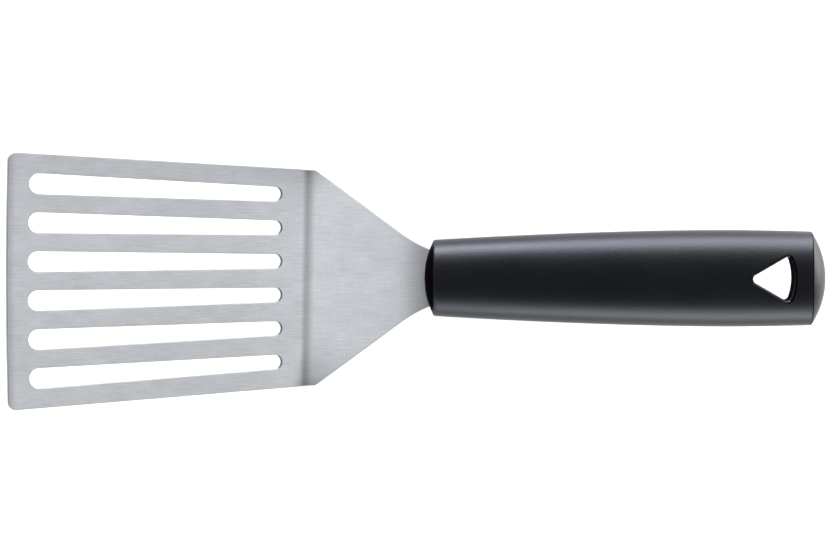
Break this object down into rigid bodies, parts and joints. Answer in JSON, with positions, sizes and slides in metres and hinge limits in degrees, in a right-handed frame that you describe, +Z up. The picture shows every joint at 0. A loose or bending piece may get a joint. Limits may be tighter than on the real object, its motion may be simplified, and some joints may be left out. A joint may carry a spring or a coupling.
{
  "type": "slotted spatula",
  "caption": "Slotted kitchen spatula: a bent stainless blade with fanned slots, and a black moulded handle with domed ends and a hanging hole.",
  "frame": {"origin": "on the surface that the spatula lies on, below the middle of its box", "axes": "+X from the blade's front edge towards the rear of the handle, +Y across the blade, +Z up, with the blade's hollow side up"},
  "size_m": [0.2548, 0.0782, 0.041],
  "materials": {
    "blade_steel": "satin",
    "grip_plastic": "satin",
    "cap_plastic": "satin",
    "core_plastic": "matte",
    "pin_steel": "satin"
  },
  "bodies": {
    "root": {"blade": "blade_steel", "front_cap": "cap_plastic", "grip": "grip_plastic", "rear_cap": "cap_plastic", "core_upper": "core_plastic", "core_lower": "core_plastic", "tang_pin_front": "pin_steel", "tang_pin_rear": "pin_steel"}
  },
  "joints": []
}
